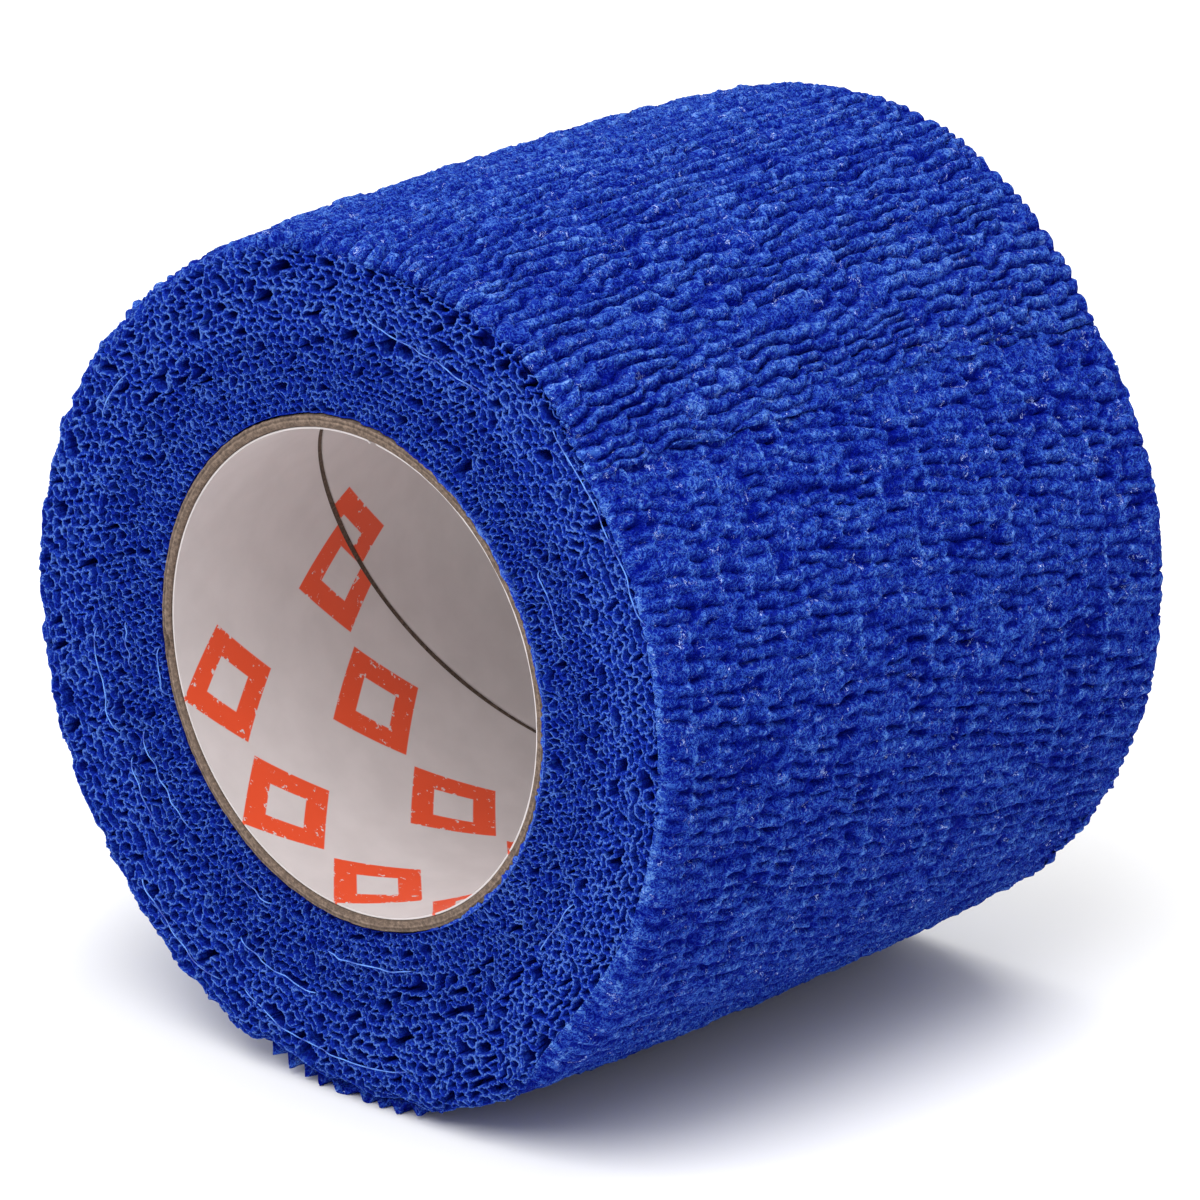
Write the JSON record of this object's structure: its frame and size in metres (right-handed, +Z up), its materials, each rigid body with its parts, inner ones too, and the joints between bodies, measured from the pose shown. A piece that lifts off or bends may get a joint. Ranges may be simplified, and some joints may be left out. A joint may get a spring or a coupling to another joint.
{
  "type": "cohesive bandage roll",
  "caption": "Narrow strip of crinkled self-sticking elastic bandage wound on a paper-lined board core, lying on its side.",
  "frame": {"origin": "on the floor under the middle of the roll's box", "axes": "+Y along the winding axis from the front end to the back end, +Z up, the roll lying on its flat spot at Z = 0"},
  "size_m": [0.0602, 0.05, 0.0609],
  "materials": {
    "cohesive_cloth": "matt, crinkled nonwoven with latex coating",
    "core_board": "matt, fibrous cut edge",
    "liner_paper": "smooth matt white paper"
  },
  "bodies": {
    "root": {"bandage_roll": "cohesive_cloth", "core_tube": "core_board", "core_liner": "liner_paper"}
  },
  "joints": []
}
